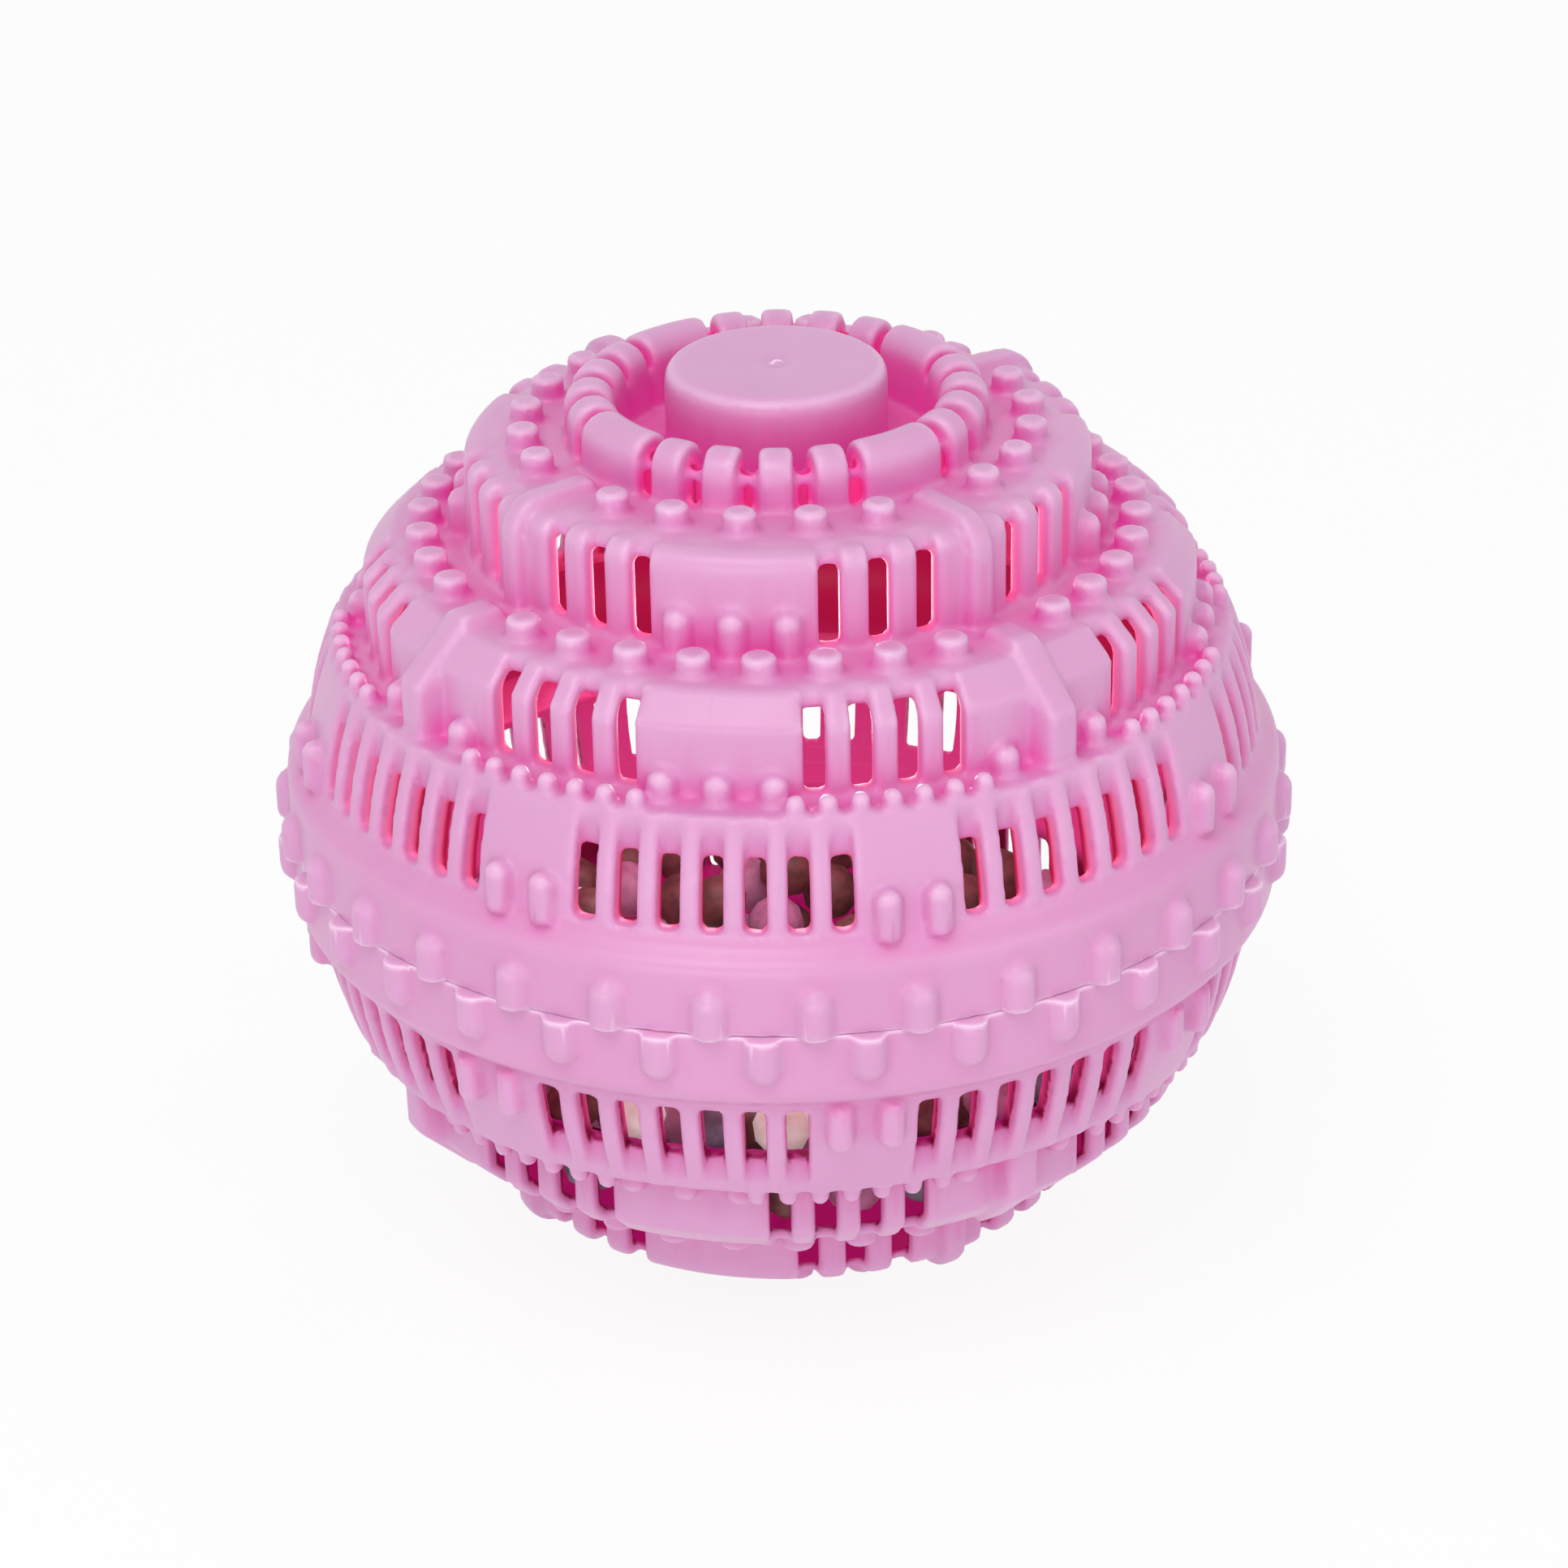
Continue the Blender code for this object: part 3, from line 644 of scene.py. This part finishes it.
# Painted glow: emission stands in for the light that glows in the walls from behind, within the ball by
# height, and a little in the outer corners, and shines pale at the seam and the gate mark
apart = tree.nodes.new("ShaderNodeSeparateXYZ")
tree.links.new(place_on_piece(tree), apart.inputs["Vector"])
glow = ramp_of(tree, scaled(tree, apart.outputs["Z"], 0.0, 2 * SEAM_HEIGHT * MM), [
    (0.11, (0.50, 0.006, 0.15)), (0.15, (0.04, 0.002, 0.010)), (0.185, (0.04, 0.002, 0.010)),
    (0.216, (0.85, 0.06, 0.30)), (0.342, (0.80, 0.05, 0.26)), (0.47, (0.42, 0.006, 0.05)),
    (0.88, (0.34, 0.005, 0.04)), (0.98, (0.60, 0.03, 0.20))])
# Painted glow in the corners, the more the less open they lie, and pale at the seam and the gate mark
painted_corner_glow = ramp_of(tree, open_read, [
    (0.04, (0.42, 0.015, 0.20)), (0.22, (0.20, 0.0, 0.09)), (0.5, (0.03, 0.0, 0.015)),
    (0.8, (0.0, 0.0, 0.0))])
painted_corner_glow = mixed(tree, scaled(tree, painted_highlight_read, 1.1, 1.7), painted_corner_glow, (0.40, 0.26, 0.34, 1))
light = mixed(tree, read_attribute(tree, "glow"), painted_corner_glow, glow)
tree.links.new(light, shader.inputs["Emission Color"])
shader.inputs["Emission Strength"].default_value = 0.55
# Satin surface with a fine moulded grain
grain = noise(tree, scale=900.0, detail=4.0)
tree.links.new(spread_out(tree, cloud, 0.30, 0.44), shader.inputs["Roughness"])
tree.links.new(dented(tree, grain, 0.12), shader.inputs["Normal"])
half.data.materials.append(plastic)

# The lower half is turned over, and turned by half a bump against the upper one
PATTERN_FRONT = -98.4
lift = Matrix.Translation((0, 0, SEAM_HEIGHT * MM))
upper = copied(half, lift @ Matrix.Rotation(math.radians(PATTERN_FRONT), 4, "Z"))
lower = copied(half, lift @ Matrix.Rotation(math.radians(PATTERN_FRONT - BUMP_PITCH / 2), 4, "Z")
               @ Matrix.Rotation(math.pi, 4, "X"))
bpy.data.objects.remove(half)
# Painted highlights: edges that face up are painted palest, and so are the seam, the rim of the button and
# the gate mark, and the seam and the gate mark also get a painted glow. The gate mark is a short line at an
# angle given in radians
GATE_TURN = 1.0
GATE_HALF_WIDTH = 0.35
GATE_HALF_LENGTH = 0.8
RIM_RADIUS = 10.0
across = places[:, 0] * math.cos(GATE_TURN) + places[:, 1] * math.sin(GATE_TURN)
along = places[:, 1] * math.cos(GATE_TURN) - places[:, 0] * math.sin(GATE_TURN)
at_gate = (height > 45) & (abs(across) < GATE_HALF_WIDTH) & (abs(along) < GATE_HALF_LENGTH)
at_seam = (height < 0.3) & (depth < 0.6)
painted_seam_and_gate_glint = (at_seam & (abs(normals[:, 2]) < 0.8)) * 1.4
painted_seam_and_gate_glint += at_gate * 1.7
rim = at_seam * 0.6
rim += (height > 44.9) * (radius < 11) * (1 - step_up(abs(radius - RIM_RADIUS), 0.1, 0.7)) * 0.7
# Painted highlight on the edges, brightest where they face up in each moulding
for moulding, up in ((upper, 1), (lower, -1)):
    painted_edge_highlight = shares["edge"] * (0.6 + 0.4 * up * normals[:, 2])
    edge = np.maximum(np.maximum(painted_seam_and_gate_glint, rim), painted_edge_highlight)
    moulding.data.attributes["edge"].data.foreach_set("value", edge)
# Painted shade: the front of ledge 3 in the lower half is given less of the painted glow, as if in the shade
# of the beads, and its slots are painted darker inside, as if they lay deeper
SHADE_HEIGHT = 17.3
DARKER_BY = 0.9
in_front = step_up(-vertex_places(lower.data)[:, 1], 0.0, 15.0)
shade = in_front * (1 - step_up(abs(height - SHADE_HEIGHT), 2.4, 3.0))
lower.data.attributes["glow"].data.foreach_set("value", shares["glow"] * (1 - shade))
painted_slot_shade = np.where(height > 8.5, DARKER_BY * step_up(depth, 0.5, 1.2), 0.0)
lower.data.attributes["depth"].data.foreach_set("value", depth + painted_slot_shade)
# The lip of the upper half, which fits inside the lower band
lip = ring([(44.7, 6.9), (46.05, 6.9), (46.05, -3.2), (45.8, -3.45), (44.85, -3.45), (44.6, -3.2)])
lip.data.transform(lift)
# The lip takes the painted light, shade and glow of deep plastic, and no painted highlight
for name, value in (("depth", 4.0), ("within", 1.0), ("glow", 1.0), ("open", 0.0), ("edge", 0.0)):
    values = [value] * len(lip.data.vertices)
    lip.data.attributes.new(name, "FLOAT", "POINT").data.foreach_set("value", values)
lip.data.materials.append(plastic)
lip.data.shade_smooth()
upper = join([upper, lip], "upper_moulding")
lower.name = "lower_moulding"
for moulding, body in ((upper, "upper_half"), (lower, "lower_half")):
    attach(moulding, body)
    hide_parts(body.replace("half", "shell"))

# Ceramic beads.
# Loose beads of baked clay in four colours, rolled round by hand or drum, so that none is quite true. They
# lie in the lower half. More beads than the solids show lie on top of the ones at the bottom.
BEAD_RADIUS = 3.15
# Light tone, dark tone, and the strength of each clay's painted glow, an emission that stands in for what the
# walls let through
CLAYS = {
    "mauve": ((0.45, 0.16, 0.29), (0.34, 0.11, 0.20), 0.16),
    "cream": ((0.76, 0.80, 0.72), (0.66, 0.66, 0.58), 0.32),
    "grey": ((0.20, 0.19, 0.25), (0.12, 0.11, 0.15), 0.16),
    "brown": ((0.17, 0.05, 0.05), (0.09, 0.03, 0.03), 0.16),
}


def clay(kind, light, dark, painted_glow_strength):
    """Matt baked clay with darker specks and fine pits, and a painted glow in its own tones."""
    made, tree, shader = new_material("ceramic_" + kind)
    specks = noise(tree, scale=700.0, detail=6.0)
    tone = ramp_of(tree, specks, [(0.40, light), (0.66, dark)])
    tree.links.new(tone, shader.inputs["Base Color"])
    # Painted glow: the clay's tone shines as emission
    tree.links.new(tone, shader.inputs["Emission Color"])
    shader.inputs["Emission Strength"].default_value = painted_glow_strength
    tree.links.new(spread_out(tree, specks, 0.45, 0.75), shader.inputs["Roughness"])
    pits = tree.nodes.new("ShaderNodeTexVoronoi")
    pits.inputs["Scale"].default_value = 1500.0
    tree.links.new(place_on_piece(tree), pits.inputs["Vector"])
    tree.links.new(dented(tree, pits.outputs["Distance"], 0.3), shader.inputs["Normal"])
    return made


def lumpy_bead(seed):
    """Bead a little out of round."""
    bpy.ops.object.select_all(action="DESELECT")
    bpy.ops.mesh.primitive_ico_sphere_add(subdivisions=2, radius=BEAD_RADIUS * MM, location=(0, 0, 0))
    bpy.ops.object.mode_set(mode="EDIT")
    bpy.ops.mesh.select_all(action="SELECT")
    bpy.ops.transform.vertex_random(offset=0.09 * MM, uniform=0.3, normal=1.0, seed=seed)
    bpy.ops.mesh.vertices_smooth(factor=0.3, repeat=1)
    bpy.ops.object.mode_set(mode="OBJECT")
    made = bpy.context.object
    reach = max(vertex.co.length for vertex in made.data.vertices)
    made.data.transform(Matrix.Scale(BEAD_RADIUS * MM / reach, 4))
    made.data.shade_smooth()
    return made


chance = random.Random(11)
shapes = [lumpy_bead(seed) for seed in range(5)]
clays = {kind: clay(kind, *looks) for kind, looks in CLAYS.items()}


def bead(name, kind, centre, size=1.0):
    """Bead of a kind at a place, turned by chance."""
    turn = Matrix.Rotation(chance.uniform(0, math.tau), 4, Vector([chance.gauss(0, 1) for _ in range(3)]))
    place = Matrix.Translation(Vector(centre) * MM) @ turn @ Matrix.Scale(size, 4)
    made = copied(chance.choice(shapes), place)
    made.name = name
    made.data.materials.append(clays[kind])
    return made


centres = []
for node in sorted(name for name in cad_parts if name.startswith("bead_")):
    kind = node.split("_")[1]
    low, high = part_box(node)
    centres.append([(a + b) / 2 / MM for a, b in zip(low, high)])
    rolled = bead(node + "_rolled", kind, centres[-1])
    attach(rolled, "bead_charge")
    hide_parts(node)

# The floor under the loose beads is the inside of the lower half: cap, crown, ledge and wall of the two
# smaller tiers, and ledge 3. Its heights go up from the table
LEDGE_3_INSIDE = 27.9
FLOOR = [(0, 10.4), (16.6, 10.4), (18.8, 8.8), (28.1, 8.8), (28.1, 18.4), (36.6, 18.4), (38.3, 21.0),
         (38.3, LEDGE_3_INSIDE), (41.9, LEDGE_3_INSIDE), (41.9, 36.0)]
floor_line = np.array([(r0 + (r1 - r0) * t, h0 + (h1 - h0) * t)
                       for (r0, h0), (r1, h1) in zip(FLOOR, FLOOR[1:]) for t in np.linspace(0, 1, 30)])
compass = np.linspace(0, math.tau, 16, endpoint=False)
all_ways = np.stack([np.cos(compass), np.sin(compass)], axis=1)


def height_over(heights, aside, reach):
    """Lowest height that keeps a centre at its reach from all points, by their heights and how far aside."""
    over = heights + np.sqrt(np.maximum(reach ** 2 - aside ** 2, 0))
    return np.where(aside < reach, over, -1).max(axis=1)


def rest_heights(spots):
    """Height at which a bead's centre comes to rest over each of several spots."""
    beads = np.array(centres)
    aside = np.abs(np.hypot(spots[:, 0], spots[:, 1])[:, None] - floor_line[:, 0])
    apart = np.hypot(spots[:, 0, None] - beads[:, 0], spots[:, 1, None] - beads[:, 1])
    return np.maximum(height_over(floor_line[:, 1], aside, BEAD_RADIUS),
                      height_over(beads[:, 2], apart, 2 * BEAD_RADIUS))


def from_front(angle, radius):
    """Spot at an angle from the front and at a distance from the axis."""
    turn = math.radians(angle)
    return radius * np.array([math.sin(turn), -math.cos(turn)])


def set_down(spot):
    """Centre of a bead that is set down over a spot."""
    return [*spot, rest_heights(spot[None])[0]]


def roll_down(spot):
    """Centre of a bead that rolls from a spot, in ever smaller steps downhill."""
    height = rest_heights(spot[None])[0]
    stride = BEAD_RADIUS / 2
    while stride > 0.01:
        heights = rest_heights(spot + stride * all_ways)
        if heights.min() < height:
            spot = spot + stride * all_ways[heights.argmin()]
            height = heights.min()
        else:
            stride /= 2
    return [*spot, height]


top_beads = {kind: [] for kind in CLAYS}


def lay(centre, kind):
    """Adds a bead that the next ones can lie on."""
    centres.append(centre)
    top_beads[kind].append(bead("top_bead", kind, centre))


# A ring of beads along the wall behind the lowest slots, by the angle from the front, and then the pile. Most
# beads at the back, beyond these distances behind the axis, are brown ones
RING_BACK = 8
PILE_BACK = 4
RING_RADIUS = 35.0
RING_STEP = 10.7
RING_MIX = ("brown", "mauve", "mauve", "grey", "mauve")
PILE_COUNT = 105
PILE_RADIUS = 33
PILE_MIX = ("mauve", "brown", "mauve", "grey", "mauve", "brown", "mauve", "mauve", "brown", "mauve", "grey")
leftward = [-0.5 - RING_STEP * i for i in range(17)]
rightward = [21.2 + RING_STEP * i for i in range(15)]
for i, angle in enumerate(leftward + rightward):
    centre = set_down(from_front(angle, RING_RADIUS))
    kind = RING_MIX[i % len(RING_MIX)]
    if angle == rightward[0]:
        kind = "grey"
    elif centre[1] > RING_BACK and i % 3:
        kind = "brown"
    lay(centre, kind)
for i in range(PILE_COUNT):
    angle = chance.uniform(0, math.tau)
    distance = PILE_RADIUS * math.sqrt(chance.random())
    centre = roll_down(distance * np.array([math.cos(angle), math.sin(angle)]))
    kind = PILE_MIX[i % len(PILE_MIX)]
    if centre[1] > PILE_BACK and i % 3:
        kind = "brown"
    lay(centre, kind)
# Smaller beads that have come to rest on ledge 3, right behind the bars, and a few on the pile behind them.
# Each is given by its angle from the front, and those on the pile also by their distance from the axis
LEDGE_ROW = ((-72.0, "brown"), (-60.5, "mauve"), (-51.0, "grey"), (-40.6, "mauve"), (-31.0, "brown"),
             (-21.6, "cream"), (-10.4, "grey"), (-1.2, "cream"), (8.6, "mauve"), (18.4, "brown"),
             (29.0, "mauve"), (38.4, "grey"), (47.6, "brown"), (57.4, "mauve"), (70.0, "brown"))
LEDGE_ROW_RADIUS = 39.0
SMALLER = 0.9
PILE_ROW = ((-38.0, 34.8, "mauve"), (-26.5, 34.8, "brown"), (-15.8, 34.8, "mauve"), (-5.2, 34.8, "brown"),
            (5.4, 34.8, "mauve"), (24.0, 34.8, "brown"), (-110.4, 21.5, "brown"))
for angle, kind in LEDGE_ROW:
    centre = (*from_front(angle, LEDGE_ROW_RADIUS), LEDGE_3_INSIDE + SMALLER * BEAD_RADIUS)
    top_beads[kind].append(bead("top_bead", kind, centre, SMALLER))
for angle, distance, kind in PILE_ROW:
    lay(set_down(from_front(angle, distance)), kind)
for kind, pieces in top_beads.items():
    layer = join(pieces, f"top_beads_{kind}")
    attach(layer, "bead_charge")
for shape in shapes:
    bpy.data.objects.remove(shape)

# Magnets and their caps.
# A nickel-plated disc magnet is pressed into the hollow of each button, and a moulded cap closes it in.
# Both keep the shapes of their solids.
nickel, tree, shader = new_material("magnet_nickel")
wear = noise(tree, scale=300.0, detail=5.0)
colour = ramp_of(tree, wear, [(0.35, (0.50, 0.50, 0.52)), (0.7, (0.62, 0.61, 0.60))])
tree.links.new(colour, shader.inputs["Base Color"])
tree.links.new(spread_out(tree, wear, 0.2, 0.45), shader.inputs["Roughness"])
shader.inputs["Metallic"].default_value = 1.0
cap_plastic, tree, shader = new_material("cap_plastic")
cloud = noise(tree, scale=120.0, detail=4.0)
colour = ramp_of(tree, cloud, [(0.3, (0.66, 0.06, 0.26)), (0.7, (0.56, 0.03, 0.18))])
tree.links.new(colour, shader.inputs["Base Color"])
tree.links.new(spread_out(tree, cloud, 0.32, 0.5), shader.inputs["Roughness"])
for node, look in (("magnet", nickel), ("magnet_cap", cap_plastic)):
    for side in ("upper_", "lower_"):
        mesh = bpy.data.objects[side + node].data
        mesh.materials.clear()
        mesh.materials.append(look)


# Floor and light.
# A plain white table and soft, even studio light from above, as in the photograph. Places and sizes of the
# table and the lamps are in metres.
def seen_directly(tree):
    """1 for what the camera sees, also in a glossy surface or through a clear one, and 0 for other light."""
    rays = tree.nodes.new("ShaderNodeLightPath")
    seen = rays.outputs["Is Camera Ray"]
    for kind in ("Is Transmission Ray", "Is Glossy Ray"):
        either = tree.nodes.new("ShaderNodeMath")
        either.operation = "MAXIMUM"
        tree.links.new(seen, either.inputs[0])
        tree.links.new(rays.outputs[kind], either.inputs[1])
        seen = either.outputs[0]
    return seen


def blended(tree, share, first, second):
    """Two shaders blended by a share."""
    made = tree.nodes.new("ShaderNodeMixShader")
    tree.links.new(share, made.inputs["Fac"])
    tree.links.new(first, made.inputs[1])
    tree.links.new(second, made.inputs[2])
    return made.outputs["Shader"]


bpy.ops.object.select_all(action="DESELECT")
bpy.ops.mesh.primitive_plane_add(size=6, location=(0, 0, 0))
floor = bpy.context.object
floor.name = "floor"
white, tree, table = new_material("white_table")
table.inputs["Base Color"].default_value = (0.9, 0.9, 0.9, 1)
table.inputs["Roughness"].default_value = 0.9
shine = tree.nodes.new("ShaderNodeEmission")
shine.inputs["Color"].default_value = (1, 1, 1, 1)
shine.inputs["Strength"].default_value = 1.02
# Most of what is seen is plain white, and the rest is the table's own face, which keeps the ball's shadow
share = tree.nodes.new("ShaderNodeMath")
share.operation = "MULTIPLY"
share.inputs[1].default_value = 0.88
tree.links.new(seen_directly(tree), share.inputs[0])
surface = blended(tree, share.outputs[0], table.outputs["BSDF"], shine.outputs["Emission"])
tree.links.new(surface, tree.nodes["Material Output"].inputs["Surface"])
floor.data.materials.append(white)

world = bpy.data.worlds.new("studio")
world.use_nodes = True
bpy.context.scene.world = world
tree = world.node_tree
soft_light = tree.nodes["Background"]
soft_light.inputs["Color"].default_value = (1, 1, 1, 1)
soft_light.inputs["Strength"].default_value = 0.54
backdrop = tree.nodes.new("ShaderNodeBackground")
backdrop.inputs["Color"].default_value = (1, 1, 1, 1)
backdrop.inputs["Strength"].default_value = 1.0
surface = blended(tree, seen_directly(tree), soft_light.outputs["Background"], backdrop.outputs["Background"])
tree.links.new(surface, tree.nodes["World Output"].inputs["Surface"])


def softbox(name, place, size, power):
    """Square lamp that faces the ball."""
    lamp = bpy.data.lights.new(name, "AREA")
    lamp.size = size
    lamp.energy = power
    made = bpy.data.objects.new(name, lamp)
    made.location = place
    to_ball = Vector((0, 0, SEAM_HEIGHT * MM)) - Vector(place)
    made.rotation_euler = to_ball.to_track_quat("-Z", "Y").to_euler()
    bpy.context.collection.objects.link(made)


softbox("key_light", (-0.15, -0.43, 0.80), size=0.45, power=2.4)
softbox("fill_light", (0.6, -0.5, 0.35), size=0.6, power=0.8)
softbox("low_light", (-0.15, -0.6, 0.05), size=0.4, power=1.0)
# The light that the walls let through, as one soft lamp within
within_light = bpy.data.lights.new("light_within", "POINT")
within_light.energy = 0.055
within_light.color = (0.80, 0.96, 1.0)
within_light.shadow_soft_size = 12 * MM
lamp_within = bpy.data.objects.new("light_within", within_light)
lamp_within.location = (0, 0, 64 * MM)
bpy.context.collection.objects.link(lamp_within)

bpy.context.scene.view_settings.view_transform = "Standard"
